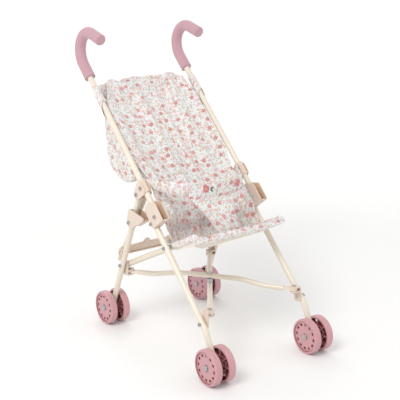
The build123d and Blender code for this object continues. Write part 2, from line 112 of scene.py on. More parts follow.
# Outline of the pouch's side, from the back's foot up the handle tube and round behind.
POUCH_ON_TUBE = ((100.0, -25.0), (180.0, -23.0), (250.0, -17.0), (284.0, -7.0))
POUCH_BEHIND = ((206.0, 436.0), (195.0, 402.0), (190.5, 372.0), (188.5, 342.0), (184.5, 316.0),
                (172.0, 293.5), (151.0, 280.0), (127.0, 275.5), (103.0, 280.0))
# Rows from the middle of the pouch's left end to its first flat row: place across, share of the outline.
POUCH_END = ((-1.0, 0.0), (-1.0, 0.45), (-1.0, 0.75), (-0.998, 0.9), (-0.992, 0.955), (-0.978, 0.985),
             (-0.95, 1.0))
POUCH_HALF = 93.0

# name, place, share of the key light's power, size
LIGHTS = (("key", (-1.5, -0.7, 1.9), 1.0, 1.0), ("fill", (1.8, -1.0, 1.2), 0.18, 1.6),
          ("rim", (0.6, 1.8, 1.7), 0.4, 1.2))
FLOOR_HALF = 9.0
CAMERA_AT = (-967.03, -1323.31, 716.45)
CAMERA_BACK = (-0.56063, -0.78234, 0.27136)
CAMERA_ROLL = radians(-0.31)
CAMERA_LENS = 88.0


# ---------------------------------------------------------------- places
def on_handle(s, off=0.0):
    """(y, z) at s along the handle tube from its hinge, off in front of its axis."""
    return HINGE[0] + cos(LEAN) * s - sin(LEAN) * off, HINGE[1] + sin(LEAN) * s + cos(LEAN) * off


def on_rail(run):
    """(y, z) at run along the seat rail from its front pivot."""
    return RAIL_FRONT[0] + RAIL_WAY[0] * run, RAIL_FRONT[1] + RAIL_WAY[1] * run


def at(x, y, z):
    """Place in the frame's metres."""
    return Vector((x * MM, (y - MIDDLE) * MM, z * MM))


def smooth_through(marks, values, t):
    """Smooth curve through values at marks, at each t; one-sided slopes at the ends."""
    marks = np.asarray(marks, float)
    values = np.asarray(values, float)
    slope = np.gradient(values, marks, axis=0)
    k = np.clip(np.searchsorted(marks, t, side="right") - 1, 0, len(marks) - 2)
    h = marks[k + 1] - marks[k]
    q = (t - marks[k]) / h
    if values.ndim > 1:
        q, h = q[:, None], h[:, None]
    return ((1 + 2 * q) * (1 - q) ** 2 * values[k] + q * (1 - q) ** 2 * h * slope[k]
            + q * q * (3 - 2 * q) * values[k + 1] + q * q * (q - 1) * h * slope[k + 1])


def sling_rows():
    """Rows from the top hem to the front lip: share of the length, edge x, y, z and centre y, z."""
    rows = []
    for v, s, sag in ((0.0, TOP_S, 6.0), (0.08, 268.0, 12.0), (0.22, 215.0, 17.0), (0.36, 160.0, 20.0),
                       (0.50, 110.0, 21.0), (0.62, 66.0, 22.0), (0.71, 32.0, 23.0)):
        waist = 97.4 - 9.0 * np.exp(-((s - 60.0) / 26.0) ** 2)
        rows.append((v, waist, *on_handle(s, 0.0), *on_handle(s, -sag)))
    rows += [(0.78, 95.0, -3.0, 239.0, 19.0, 222.0), (0.84, 95.5, -17.0, 215.0, 27.0, 197.0),
             (0.885, 93.0, -31.0, 200.0, 12.0, 181.0), (0.925, 91.5, -50.0, 210.0, -22.0, 187.0),
             (0.965, 91.5, -70.0, 219.0, -55.0, 202.0), (1.0, 91.5, -88.0, 226.0, -87.0, 217.0)]
    return rows


def corner_round(side, v):
    """How far the top corners are drawn in and let down, with a small dip beside the left one."""
    near_top = np.clip(1 - v / 0.16, 0, 1) ** 1.1
    turn = np.clip((np.abs(side) - 0.62) / 0.38, 0, 1)
    drawn_in = turn * near_top * np.where(side < 0, 15.0, 6.0)
    drop = 40.0 * (1 - np.sqrt(np.clip(1 - turn ** 2.2, 0, 1))) * near_top
    dip = 4.5 * np.exp(-((side + 0.50) / 0.09) ** 2) * near_top
    return drawn_in, drop + dip


def fold_height(u, v, side):
    """Height of the soft folds that fan down the back, and of the creases across its foot and the seat."""
    wander = 0.35 * np.sin(3.1 * v + 1.0) + 0.16 * np.sin(9.0 * v)
    fan = side * (1 + 0.22 * v) / 2
    wide = 3.0 * (1 - 2 * np.abs(np.sin(pi * (2.7 * fan + 0.12 + 0.10 * wander))) ** 0.8)
    narrow = 1.9 * (1 - 2 * np.abs(np.sin(pi * (5.1 * fan + 0.35 + 0.18 * np.sin(4.0 * v + 2.0)))) ** 0.9)
    ripple = 0.7 * np.sin(2 * pi * 9.0 * u + 4.0 * np.sin(3.2 * v + 1.0)) * np.sin(4.4 * v + 5 * u) ** 2
    crease = 1.1 * np.sin(2 * pi * (1.7 * u + 6.3 * v) + 2 * np.sin(6 * u)) * np.clip((v - 0.5) * 4, 0, 1)
    below_hem = 0.55 + 0.45 * np.clip(v * 8, 0, 1)
    off_tubes = np.clip(1 - np.abs(side) ** 6, 0, 1)
    off_lip = np.clip((1.0 - v) / 0.1, 0, 1)
    return ((wide + narrow + ripple) * below_hem + crease) * off_tubes * off_lip


def sling_point(u, v):
    """Points (mm) of the sling for arrays u across, 0 to 1, and v down its length, 0 to 1."""
    rows = np.array(sling_rows())
    edge_x, edge_y, edge_z, centre_y, centre_z = smooth_through(rows[:, 0], rows[:, 1:], v).T
    side = 2 * u - 1
    belly = 1 - np.abs(side) ** 2.5
    drawn_in, drop = corner_round(side, v)
    lift = fold_height(u, v, side)
    x = side * (edge_x - drawn_in)
    y = edge_y + (centre_y - edge_y) * belly - cos(LEAN) * drop - sin(LEAN) * lift
    z = edge_z + (centre_z - edge_z) * belly - sin(LEAN) * drop + cos(LEAN) * lift
    return np.stack([x, y, z], axis=1)


# ---------------------------------------------------------------- meshes
def new_object(name, verts, faces, uvs=None, material=None):
    mesh = bpy.data.meshes.new(name)
    mesh.from_pydata([tuple(p) for p in verts], [], faces)
    if uvs is not None:
        layer = mesh.uv_layers.new(name="UVMap")
        index = np.empty(len(mesh.loops), dtype=np.int32)
        mesh.loops.foreach_get("vertex_index", index)
        layer.data.foreach_set("uv", np.asarray(uvs, float)[index].ravel())
    mesh.shade_smooth()
    if material:
        mesh.materials.append(material)
    obj = bpy.data.objects.new(name, mesh)
    bpy.context.scene.collection.objects.link(obj)
    return obj


def to_metres(points):
    points = np.asarray(points, float).copy()
    points[:, 1] -= MIDDLE
    return points * MM


def grid(name, across, along, place, uv, material, thickness, closed=False, flip=False):
    """Cloth with two skins from a grid of place(u, v), all in millimetres; also its area in square metres."""
    u = np.linspace(0, 1, across + 1)[: across if closed else None]
    v = np.linspace(0, 1, along + 1)
    uu, vv = np.meshgrid(u, v)
    points = place(uu.ravel(), vv.ravel())
    n = len(u)
    faces = []
    for j in range(along):
        for i in range(across):
            a, b = j * n + i, j * n + (i + 1) % n
            quad = (a, b, b + n, a + n)
            faces.append(quad[::-1] if flip else quad)
    obj = new_object(name, to_metres(points), faces, uv(uu.ravel(), vv.ravel(), points), material)
    area = sum(p.area for p in obj.data.polygons)
    skin = obj.modifiers.new("cloth", "SOLIDIFY")
    skin.thickness = thickness * MM
    skin.offset = 0.0
    bake(obj)
    return obj, area


def bake(obj):
    """Leaves obj as the plain mesh its modifiers give."""
    graph = bpy.context.evaluated_depsgraph_get()
    graph.update()
    done = bpy.data.meshes.new_from_object(obj.evaluated_get(graph))
    obj.modifiers.clear()
    obj.data = done
    return obj


def roll(name, path, radii, material, bulge, sides=28):
    """Stuffed cloth along a path in mm; radii gives (wide, tall) at each point, bulge its swelling."""
    path = np.asarray(path, float)
    radii = np.asarray(radii, float)
    tangent = np.gradient(path, axis=0)
    tangent /= np.linalg.norm(tangent, axis=1)[:, None]
    run = np.concatenate([[0], np.cumsum(np.linalg.norm(np.diff(path, axis=0), axis=1))])
    verts, uvs, faces = [], [], []
    for k, (p, t, (wide, tall)) in enumerate(zip(path, tangent, radii)):
        up = np.array((0.0, 0.0, 1.0)) - t * t[2]
        up /= np.linalg.norm(up)
        out = np.cross(t, up)
        for i in range(sides):
            a = 2 * pi * i / sides
            swell = 1 + bulge(run[k], a)
            verts.append(p + out * (cos(a) * wide * swell) + up * (sin(a) * tall * swell))
            uvs.append((run[k] / UV_MM, a * (wide + tall) / 2 / UV_MM))
    for k in range(len(path) - 1):
        for i in range(sides):
            a, b = k * sides + i, k * sides + (i + 1) % sides
            faces.append((a, a + sides, b + sides, b))
    faces.append(tuple(range(sides)))
    last = (len(path) - 1) * sides
    faces.append(tuple(last + i for i in range(sides))[::-1])
    return new_object(name, to_metres(verts), faces, uvs, material)


# ---------------------------------------------------------------- materials
class Shader:
    """Small helper that adds nodes to one material and wires them."""

    def __init__(self, name):
        self.material = bpy.data.materials.new(name)
        self.material.use_nodes = True
        self.tree = self.material.node_tree
        self.surface = self.tree.nodes["Principled BSDF"]

    def node(self, kind, **values):
        made = self.tree.nodes.new(kind)
        for key, value in values.items():
            setattr(made, key, value)
        return made

    def wire(self, source, target):
        if isinstance(source, (int, float, tuple)):
            target.default_value = source
        else:
            self.tree.links.new(source, target)

    def math(self, operation, a, b=0.0, clamp=False):
        made = self.node("ShaderNodeMath", operation=operation, use_clamp=clamp)
        self.wire(a, made.inputs[0])
        self.wire(b, made.inputs[1])
        return made.outputs[0]

    def vector(self, operation, a, b=(0.0, 0.0, 0.0), scale=1.0):
        made = self.node("ShaderNodeVectorMath", operation=operation)
        self.wire(a, made.inputs[0])
        if operation == "SCALE":
            made.inputs[3].default_value = scale
        else:
            self.wire(b, made.inputs[1])
        return made.outputs["Value"] if operation in ("LENGTH", "DOT_PRODUCT") else made.outputs["Vector"]

    def mix(self, share, a, b):
        made = self.node("ShaderNodeMix", data_type="RGBA")
        self.wire(share, made.inputs[0])
        self.wire(a, made.inputs[6])
        self.wire(b, made.inputs[7])
        return made.outputs[2]

    def noise(self, where, scale, detail=3.0):
        made = self.node("ShaderNodeTexNoise")
        self.wire(where, made.inputs["Vector"])
        made.inputs["Scale"].default_value = scale
        made.inputs["Detail"].default_value = detail
        return made.outputs["Fac"]

    def spread(self, value, low, high):
        """value from 0..1 to low..high."""
        return self.math("ADD", self.math("MULTIPLY", value, high - low), low)

    def bump(self, height, strength, distance):
        made = self.node("ShaderNodeBump")
        made.inputs["Strength"].default_value = strength
        made.inputs["Distance"].default_value = distance
        self.wire(height, made.inputs["Height"])
        self.wire(made.outputs["Normal"], self.surface.inputs["Normal"])

    def set(self, **values):
        for key, value in values.items():
            self.wire(value, self.surface.inputs[key.replace("_", " ")])
        return self.material

    def object_place(self):
        return self.node("ShaderNodeTexCoord").outputs["Object"]

    def cloth_place(self):
        return self.node("ShaderNodeTexCoord").outputs["UV"]


def rgba(r, g, b):
    return (r, g, b, 1.0)


def motif_cell(s, place, cell, shift, randomness=0.72):
    """Nearest motif of one print layer: offset from its middle in mm, and three random numbers."""
    spot = s.vector("ADD", s.vector("SCALE", place, scale=UV_MM / cell), (shift, shift * 1.7, 0.0))
    cells = s.node("ShaderNodeTexVoronoi", voronoi_dimensions="2D")
    s.wire(spot, cells.inputs["Vector"])
    cells.inputs["Scale"].default_value = 1.0
    cells.inputs["Randomness"].default_value = randomness
    away = s.vector("SCALE", s.vector("SUBTRACT", spot, cells.outputs["Position"]), scale=cell)
    split = s.node("ShaderNodeSeparateColor")
    s.wire(cells.outputs["Color"], split.inputs[0])
    return away, split.outputs[0], split.outputs[1], split.outputs[2]


def turned(s, away, turn):
    """away turned by a random angle; returns its two parts."""
    parts = s.node("ShaderNodeSeparateXYZ")
    s.wire(away, parts.inputs[0])
    angle = s.math("MULTIPLY", turn, 2 * pi)
    c, n = s.math("COSINE", angle), s.math("SINE", angle)
    x = s.math("ADD", s.math("MULTIPLY", parts.outputs[0], c), s.math("MULTIPLY", parts.outputs[1], n))
    y = s.math("SUBTRACT", s.math("MULTIPLY", parts.outputs[1], c), s.math("MULTIPLY", parts.outputs[0], n))
    return x, y


def inside(s, distance, limit, softness):
    """1 where distance is well under limit, 0 beyond it."""
    return s.math("DIVIDE", s.math("SUBTRACT", limit, distance), softness, clamp=True)


def flowers(s, base, place, cell, radius, shift, first, second, share, heart):
    """Five-petalled flowers in two colours; share of the cells have one."""
    away, a, b, c = motif_cell(s, place, cell, shift)
    x, y = turned(s, away, a)
    r = s.vector("LENGTH", away)
    petals = s.math("COSINE", s.math("MULTIPLY", s.math("ARCTAN2", y, x), 5.0))
    edge = s.spread(petals, 0.90 * radius, 1.06 * radius)
    shown = s.math("LESS_THAN", b, share)
    mask = s.math("MULTIPLY", inside(s, r, edge, 0.35), shown)
    colour = s.mix(s.math("GREATER_THAN", c, 0.5), first, second)
    base = s.mix(s.math("MULTIPLY", mask, 0.92), base, colour)
    core = s.math("MULTIPLY", inside(s, r, 0.30 * radius, 0.3), shown)
    return s.mix(s.math("MULTIPLY", core, 0.85), base, heart)


def leaves(s, base, place, cell, length, width, shift, colour, share):
    """Single oval leaves, turned at random."""
    away, a, b, _ = motif_cell(s, place, cell, shift, 0.9)
    x, y = turned(s, away, a)
    oval = s.math("ADD", s.math("POWER", s.math("DIVIDE", x, length), 2.0),
                  s.math("POWER", s.math("DIVIDE", y, width), 2.0))
    mask = s.math("MULTIPLY", inside(s, oval, 1.0, 0.5), s.math("LESS_THAN", b, share))
    return s.mix(s.math("MULTIPLY", mask, 0.85), base, colour)


def sprigs(s, base, place, cell, shift, colour):
    """A stem with paired leaves: a stripe and a ripple along one random direction."""
    away, a, b, _ = motif_cell(s, place, cell, shift, 0.8)
    x, y = turned(s, away, s.spread(a, 0.18, 0.32))
    along = inside(s, s.math("ABSOLUTE", x), 5.2, 0.8)
    out = s.math("ABSOLUTE", y)
    beat = s.math("COSINE", s.math("MULTIPLY", s.math("SUBTRACT", x, s.math("MULTIPLY", out, 0.9)), 3.4))
    blades = s.math("MULTIPLY", inside(s, out, 2.1, 0.4), s.math("GREATER_THAN", beat, 0.35))
    stem = inside(s, out, 0.34, 0.25)
    mask = s.math("MULTIPLY", s.math("MULTIPLY", s.math("MAXIMUM", blades, stem), along),
                  s.math("LESS_THAN", b, 0.62))
    return s.mix(s.math("MULTIPLY", mask, 0.85), base, colour)


def print_cloth(name):
    """Off-white cotton with a small printed flower pattern, a plain weave and a soft sheen."""
    s = Shader(name)
    place = s.cloth_place()
    sage, grey_green = rgba(0.36, 0.38, 0.31), rgba(0.50, 0.51, 0.45)
    ochre, heart = rgba(0.66, 0.44, 0.22), rgba(0.72, 0.46, 0.26)
    coral, rose = rgba(0.58, 0.23, 0.235), rgba(0.66, 0.31, 0.32)
    pale, blush = rgba(0.76, 0.49, 0.52), rgba(0.74, 0.43, 0.46)
    base = rgba(0.80, 0.80, 0.79)
    base = leaves(s, base, place, 5.4, 2.1, 0.62, 3.3, grey_green, 0.70)
    base = leaves(s, base, place, 6.4, 2.4, 0.70, 8.1, sage, 0.62)
    base = sprigs(s, base, place, 17.0, 5.7, sage)
    base = flowers(s, base, place, 9.2, 2.3, 1.3, ochre, rgba(0.72, 0.50, 0.28), 0.52, rgba(0.80, 0.70, 0.55))
    base = flowers(s, base, place, 9.8, 3.1, 6.9, pale, blush, 0.60, rgba(0.86, 0.80, 0.76))
    base = flowers(s, base, place, 18.5, 4.4, 2.2, coral, rose, 0.66, heart)
    thread = s.vector("SCALE", place, scale=UV_MM)
    parts = s.node("ShaderNodeSeparateXYZ")
    s.wire(thread, parts.inputs[0])
    warp = s.math("SINE", s.math("MULTIPLY", parts.outputs[0], 11.0))
    weft = s.math("SINE", s.math("MULTIPLY", parts.outputs[1], 11.0))
    weave = s.math("ADD", s.math("MULTIPLY", warp, weft), s.noise(place, 90.0, 4.0))
    s.bump(weave, 0.25, 0.0004)
    fade = s.spread(s.noise(place, 3.0), 0.94, 1.03)
    tone = s.node("ShaderNodeMix", data_type="RGBA", blend_type="MULTIPLY")
    tone.inputs[0].default_value = 1.0
    s.wire(base, tone.inputs[6])
    s.wire(fade, tone.inputs[7])
    s.wire(s.spread(s.noise(place, 30.0), 0.80, 0.95), s.surface.inputs["Roughness"])
    return s.set(Base_Color=tone.outputs[2], Sheen_Weight=0.25, Sheen_Roughness=0.5, Specular_IOR_Level=0.15,
                 Subsurface_Weight=0.12, Subsurface_Radius=(0.004, 0.003, 0.003))


def plain_cloth(name, colour, scale=60.0):
    """Plain woven cloth or floss."""
    s = Shader(name)
    place = s.object_place()
    s.bump(s.noise(place, scale * 20, 4.0), 0.3, 0.0004)
    s.wire(s.spread(s.noise(place, scale), 0.78, 0.95), s.surface.inputs["Roughness"])
    shade = s.mix(s.noise(place, 25.0), colour, rgba(*(c * 0.92 for c in colour[:3])))
    return s.set(Base_Color=shade, Sheen_Weight=0.3)


def finish(name, colour, rough=(0.3, 0.45), grain=900.0, depth=0.00004, strength=0.35, metal=0.0, coat=0.0,
           deep=None, soft=0.0, sheen=0.0, stretch=(1.0, 1.0, 1.0)):
    """Paint, plastic, foam or metal with fine grain and uneven gloss; deep is painted shade, mixed in where
    ambient occlusion finds hollows.
    """
    s = Shader(name)
    place = s.vector("MULTIPLY", s.object_place(), stretch)
    s.bump(s.noise(place, grain, 5.0), strength, depth)
    s.wire(s.spread(s.noise(place, 55.0, 4.0), *rough), s.surface.inputs["Roughness"])
    worn = rgba(*(c * 0.93 for c in colour[:3]))
    shade = s.mix(s.noise(place, 18.0, 5.0), colour, worn)
    # painted shade: ambient occlusion darkens the colour towards deep in hollows and recesses, where shade
    # falls
    if deep:
        hollow = s.node("ShaderNodeAmbientOcclusion", samples=6, only_local=True)
        hollow.inputs["Distance"].default_value = 0.02
        shade = s.mix(s.math("POWER", hollow.outputs["AO"], 1.4), deep, shade)
    return s.set(Base_Color=shade, Metallic=metal, Coat_Weight=coat, Coat_Roughness=0.15, Sheen_Weight=sheen,
                 Subsurface_Weight=soft, Subsurface_Radius=(0.006, 0.003, 0.002))


FINISHES = {
    "painted_tube": dict(colour=rgba(0.80, 0.72, 0.60), rough=(0.26, 0.42), grain=1100.0, coat=0.35),
    # cream_plastic's deep is painted shade: darker orange in the brackets' and latches' hollows
    "cream_plastic": dict(colour=rgba(0.765, 0.64, 0.545), rough=(0.36, 0.52), grain=1500.0,
                          deep=rgba(0.66, 0.42, 0.27), soft=0.15),
    # pink_plastic's deep is painted shade: dark red in the wheels' hollows and holes
    "pink_plastic": dict(colour=rgba(0.62, 0.335, 0.365), rough=(0.28, 0.42), grain=1300.0,
                         deep=rgba(0.26, 0.035, 0.045), soft=0.08),
    "pink_foam": dict(colour=rgba(0.545, 0.325, 0.37), rough=(0.82, 0.96), grain=1800.0, depth=0.0003,
                      strength=0.6, sheen=0.25),
    "zinc": dict(colour=rgba(0.50, 0.50, 0.51), rough=(0.25, 0.45), grain=1200.0, metal=1.0,
                 stretch=(1.0, 1.0, 6.0)),
}


def material_of(name, make, *args, **values):
    """The material of that name, made at its first use."""
    return bpy.data.materials.get(name) or make(name, *args, **values)


def printed():
    return material_of("print_cloth", print_cloth)


# ---------------------------------------------------------------- settings
class SlingSettings(PropertyGroup):
    cloth: FloatProperty(name="Cloth", description="Thickness of the sling's padded cloth, in millimetres",
                         default=2.0, min=0.3, unit="NONE")
    across: IntProperty(name="Across", description="Grid cells across the sling", default=120, min=20)
    down_back: IntProperty(name="Back", description="Grid cells down the back", default=190, min=20)
    along_seat: IntProperty(name="Seat", description="Grid cells along the seat", default=110, min=20)
    stitch_length: FloatProperty(name="Stitch", description="Length of one stitch", default=0.0019,
                                 min=0.0005, subtype="DISTANCE", unit="LENGTH")
    stitch_step: FloatProperty(name="Stitch step", description="From one stitch to the next", default=0.0029,
                               min=0.001, subtype="DISTANCE", unit="LENGTH")


class StageSettings(PropertyGroup):
    key: FloatProperty(name="Key light", description="Power of the large soft light, in watts", default=24.0,
                       min=0)
    world: FloatProperty(name="World", description="Strength of the pale surround", default=0.76, min=0)
    glow: FloatProperty(name="Glow", description="How much the floor's far part brightens", default=0.34,
                        min=0)
    glow_start: FloatProperty(name="Glow start", description="Where the floor starts to brighten",
                              default=0.7, min=0, subtype="DISTANCE", unit="LENGTH")
    glow_reach: FloatProperty(name="Glow reach", description="Length over which it brightens", default=1.6,
                              min=0.1, subtype="DISTANCE", unit="LENGTH")


# ---------------------------------------------------------------- pieces
def cloth_uv(u, v, points):
    """Lengths on the cloth: across from the middle column, and down the middle column."""
    n = int(np.sum(v == v[0]))
    rows = points.reshape(-1, n, 3)
    down = np.linalg.norm(np.diff(rows[:, n // 2], axis=0), axis=1)
    middle = np.concatenate([[0.0], np.cumsum(down)])[:, None] * np.ones((1, n))
    across = np.concatenate([np.zeros((len(rows), 1)),
                             np.cumsum(np.linalg.norm(np.diff(rows, axis=1), axis=2), axis=1)], axis=1)
    across -= across[:, n // 2][:, None]
    return np.stack([across.ravel() / UV_MM, middle.ravel() / UV_MM], axis=1)


def gather(obj, body):
    """Cloth that rides on a body: parented to it, with a mesh of its own."""
    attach(obj, body)
    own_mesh(obj)


class STROLLER_OT_finishes(Operator):
    """Gives every hard part of the frame its finish"""
    bl_idname = "stroller.finishes"
    bl_label = "Finishes"

    def execute(self, context):
        slots = {p["node"]: p["material_slot"] for p in frame["record"]["subparts"]}
        for name, node in frame["nodes"].items():
            slot = slots[name]
            if slot == CLOTH_SLOT:
                continue
            look = material_of(f"{slot}_look", finish, **FINISHES[slot])
            for spot in node.material_slots:
                spot.material = look
        return {"FINISHED"}


def sling_panels(s, cloth):
    """Back and seat panels; the print runs on from the first to the second."""
    printed_run = 0.0
    for name, low, high, along, body, node, tubes in (
            ("sling_back", 0.0, SEAM_V, s.down_back, "handle_left", "back_panel", "handle_tube"),
            ("sling_seat", SEAM_V, 1.0, s.along_seat, "seat_rail_left", "seat_panel", "seat_rail")):

        def place(u, v, low=low, high=high):
            return sling_point(u, low + (high - low) * v)

        def uv(u, v, points, start=printed_run):
            return cloth_uv(u, v, points) + (0.0, start)

        piece, area = grid(name, s.across, along, place, uv, cloth, s.cloth)
        edge = np.linspace(0, 1, along + 1)
        middle = place(np.full_like(edge, 0.5), edge)
        printed_run += np.linalg.norm(np.diff(middle, axis=0), axis=1).sum() / UV_MM
        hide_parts(node)
        gather(piece, body)


def tube_sleeve(word, side, cloth):
    """Sleeve round a handle tube at the sling's top corner."""
    def wrap(u, v):
        """u goes round from the tube's front; the lower end is cut on the slant, longest behind."""
        a = 2 * pi * u
        behind = 0.5 - 0.5 * np.cos(a)
        run = 277.0 - v * (34.0 + 30.0 * behind)
        wide = 6.6 + 0.5 * np.sin(3 * a + run * 0.15) * v + 0.7 * behind
        x = side * (LEG_X + np.sin(a) * wide)
        y, z = on_handle(run, np.cos(a) * wide)
        return np.stack([x, y, z], axis=1)

    sleeve, area = grid(f"sling_sleeve_{word}", 40, 44, wrap, cloth_uv, cloth, SLEEVE_CLOTH, closed=True)
    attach(sleeve, f"handle_{word}")


def rail_sleeve(word, side, cloth):
    """Padded sleeve on the front of a seat rail, tapered to its end."""
    runs = np.linspace(6.0, 75.5, 40)
    path = [(side * RAIL_X, *on_rail(run)) for run in runs]
    taper = np.clip((77.0 - runs) / 6.0, 0.12, 1.0) ** 0.5
    radii = [(6.1 * t + 0.2, 6.3 * t + 0.2) for t in taper]
    nose = roll(f"rail_sleeve_{word}", path, radii, cloth, lambda run, a: 0.04 * sin(2 * a + run * 0.2))
    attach(nose, f"seat_rail_{word}")


def front_lip(cloth):
    """Padded front edge of the seat."""
    x = np.linspace(LIP_MARKS[0], LIP_MARKS[-1], 96)
    top = LIP_TOP - 1.5 * np.clip(x / 93.0, 0, 1) ** 3
    low = smooth_through(LIP_MARKS, LIP_LOW, x)
    tall = (top - low) / 2 * np.clip((96.5 - x) / 14.0, 0.3, 1.0) ** 0.5
    deep = 6.4 * np.clip((97.0 - np.abs(x)) / 9.0, 0.35, 1.0) ** 0.5
    y = LIP_FRONT + 1.6 * np.cos(x / 93.0 * 1.5) + 0.8 * np.sin(x * 0.11)
    path = np.stack([x, y, (top + low) / 2], axis=1)

    def puckers(run, a):
        return 0.05 * sin(run * 0.17 + 1.3 * sin(a)) + 0.03 * sin(run * 0.41 + 2 * a)

    lip = roll("front_lip", path, np.stack([deep, tall], axis=1), cloth, puckers, sides=40)
    gather(lip, "seat_rail_left")


def lining_point(u, v):
    """The strip's upper edge follows the left rail for a quarter of its length, then the front lip."""
    side = np.clip(u / 0.25, 0, 1)
    front = np.clip((u - 0.25) / 0.75, 0, 1)
    rail_y, rail_z = on_rail(12.0 + 62.0 * side)
    x = LIP_MARKS[0] + 177.0 * front
    edge = smooth_through(LIP_MARKS, LIP_LOW, x)
    on_front = np.clip(front * 12, 0, 1)
    y = rail_y * (1 - on_front) + (6.0 * v - 1.5 * np.sin(v * pi) - 92.0) * on_front
    fall = (5.0 + 6.0 * side) * (1 - 0.75 * front)
    z = (rail_z - 4.0) * (1 - on_front) + (edge + 3.0) * on_front - fall * np.sin(v * pi / 2)
    return np.stack([x, y, z], axis=1)


class STROLLER_OT_sling(Operator):
    """Builds the back and the seat of the sling, the sleeves on the tubes and the padded front lip"""
    bl_idname = "stroller.sling"
    bl_label = "Sling"

    def execute(self, context):
        cloth = printed()
        sling_panels(context.scene.stroller_sling, cloth)
        for word, side in SIDES:
            tube_sleeve(word, side, cloth)
            rail_sleeve(word, side, cloth)
        front_lip(cloth)
        cream = material_of("lining", plain_cloth, rgba(0.80, 0.73, 0.63))
        lining, area = grid("seat_lining", 120, 14, lining_point, cloth_uv, cream, LINING_CLOTH)
        gather(lining, "seat_rail_left")
        return {"FINISHED"}


def belt_at(t, forward=0.0):
    """(x, y) of the belt's middle plane at shares t of its length, pushed forward of it."""
    marks = np.linspace(0, 1, len(BELT))
    spot = smooth_through(marks, BELT, t)
    ahead = smooth_through(marks, BELT, np.minimum(t + 0.004, 1.0))
    behind = smooth_through(marks, BELT, np.maximum(t - 0.004, 0.0))
    way = ahead - behind
    way /= np.linalg.norm(way, axis=1)[:, None]
    return spot + np.stack([way[:, 1], -way[:, 0]], axis=1) * forward


def belt_share(x):
    """Share of the belt's length at a place across."""
    t = np.linspace(0, 1, 1201)
    return np.interp(x, belt_at(t)[:, 0], t)


def tee_point(u, v):
    """Crotch piece: the band across, v 0 to TEE_BAND, then the strap down to the seat."""
    top = v < TEE_BAND
    q = np.clip(v / TEE_BAND, 0, 1)
    w = np.clip((v - TEE_BAND) / (1 - TEE_BAND), 0, 1)
    x0 = np.where(top, -61.0, -61.0 + 36.0 * w ** 0.8)
    x1 = np.where(top, 50.0, 50.0 - 32.0 * (1 - (1 - np.clip(w * 3.2, 0, 1)) ** 2.2) - 2.0 * w)
    x = x0 + (x1 - x0) * u
    band_y = belt_at(belt_share(x), TEE_FORWARD)[:, 1] - 0.9 * np.sin(q * pi)
    band_z = TEE_TOP - TEE_BAND_TALL * q + 2.0 * (4 * (u - 0.5) ** 2) ** 3 * (0.5 - q)
    strap_y = -33.0 - 33.0 * w - 4.0 * np.sin(w * pi) + 1.8 * np.sin(2 * pi * u * 1.2 + 1.0) * w
    strap_z = TEE_TOP - TEE_BAND_TALL - TEE_STRAP_DROP * w ** 0.95
    leave = np.clip(w * 3, 0, 1)
    y = np.where(top, band_y, band_y * (1 - leave) + strap_y * leave)
    z = np.where(top, band_z, strap_z)
    y += 0.5 * np.sin(x * 0.21 + v * 7) * np.where(top, 0.5, 1.0)
    return np.stack([x, y, z], axis=1)


def petal(cx, cz, angle, reach, wide, lift, sides=12):
    """Raised satin-stitch oval on the crotch piece, from (cx, cz) outwards; its points and faces."""
    middle_x = cx + cos(angle) * reach / 2
    middle_z = cz + sin(angle) * reach / 2
    points, faces = [], []
    for scale, up in ((1.0, 0.2), (0.75, 0.7), (0.35, 1.0)):
        for i in range(sides):
            a = cos(2 * pi * i / sides) * reach / 2
            b = sin(2 * pi * i / sides) * wide / 2
            x = middle_x + (a * cos(angle) - b * sin(angle)) * scale
            z = middle_z + (a * sin(angle) + b * cos(angle)) * scale
            y = belt_at(belt_share(np.array([x])), TEE_FORWARD)[0, 1]
            points.append((x, y - 1.2 - lift * up, z))
    for k in range(2):
        for i in range(sides):
            a, b = k * sides + i, k * sides + (i + 1) % sides
            faces.append((a, b, b + sides, a + sides))
    faces.append(tuple(2 * sides + i for i in range(sides)))
    return points, faces


def embroidery(word, middle, flosses):
    """One flower with three leaves, sewn on the crotch piece."""
    petals = [(FLOSS_GREEN, petal(middle + 7.5, FLOWER_Z + 0.5 - 1.5 * k, radians(turn), 9.5, 3.4, 0.9))
              for k, turn in enumerate((-4.0, -38.0, 38.0))]
    petals += [(FLOSS_PINK, petal(middle, FLOWER_Z, 2 * pi * k / 10 + 0.2, 7.6, 3.9, 0.9)) for k in range(10)]
    petals += [(FLOSS_GOLD, petal(middle, FLOWER_Z, 2 * pi * k / 6, 2.6, 2.1, 1.4)) for k in range(6)]
    verts, faces, looks = [], [], []
    for floss, (points, patches) in petals:
        faces += [tuple(len(verts) + i for i in patch) for patch in patches]
        looks += [floss] * len(patches)
        verts += points
    bloom = new_object(f"embroidery_{word}", to_metres(verts), faces)
    for look in flosses:
        bloom.data.materials.append(look)
    bloom.data.polygons.foreach_set("material_index", looks)
    gather(bloom, "handle_left")


